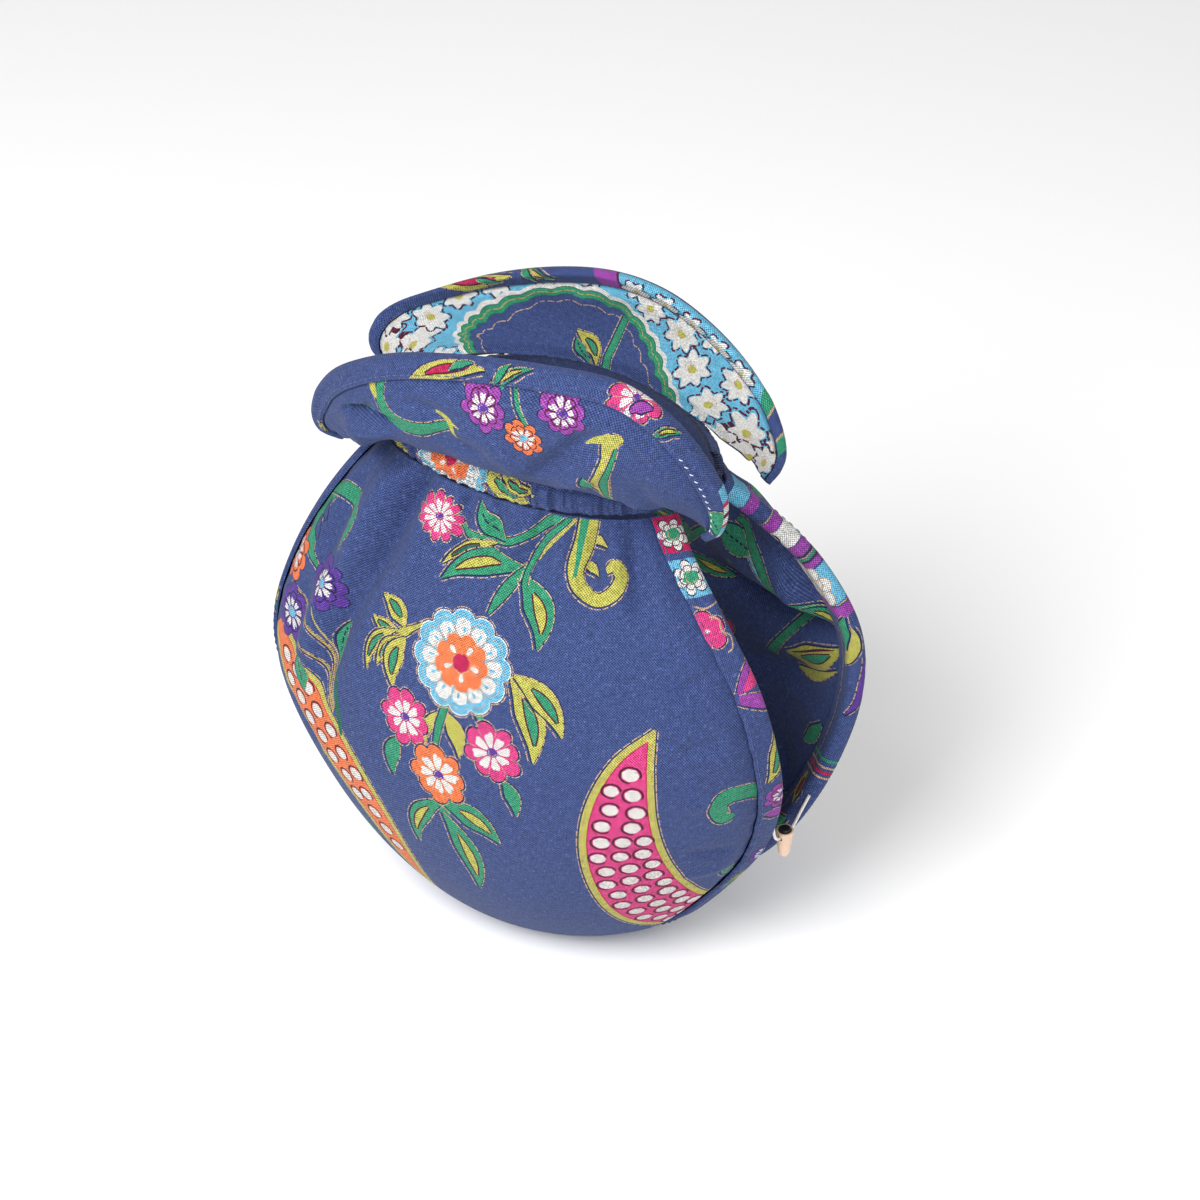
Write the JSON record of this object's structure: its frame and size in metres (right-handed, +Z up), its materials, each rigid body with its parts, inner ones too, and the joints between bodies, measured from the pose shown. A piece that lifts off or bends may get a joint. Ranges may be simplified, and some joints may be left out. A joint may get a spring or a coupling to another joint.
{
  "type": "tea cosy",
  "caption": "Padded wrap-round cotton tea cosy: printed front and back panels joined under the pot, gathered neck, two collar flaps, bound edges and a cord stopper.",
  "frame": {"origin": "middle of the flat underside of the base, where the cosy stands", "axes": "+Z up, +X towards the spout slit with the cord stopper, -Y the front panel"},
  "size_m": [0.2204, 0.1377, 0.2752],
  "materials": {
    "panel_print": "navy printed cotton, fine plain weave, matt",
    "casing_print": "gathered navy printed cotton, matt",
    "binding_print": "printed cotton tape, matt",
    "elastic": "thin round elastic, off-white",
    "stopper_beige": "satin beige",
    "stopper_black": "satin black"
  },
  "bodies": {
    "root": {"body": "panel_print", "side_binding_spout": "binding_print", "side_binding_handle": "binding_print", "casing_front": "casing_print", "casing_back": "casing_print", "flap_front": "panel_print", "flap_back": "panel_print", "rim_binding_front": "binding_print", "rim_binding_back": "binding_print", "draw_cord": "elastic", "stopper_barrel": "stopper_beige", "stopper_plunger": "stopper_black"}
  },
  "joints": []
}
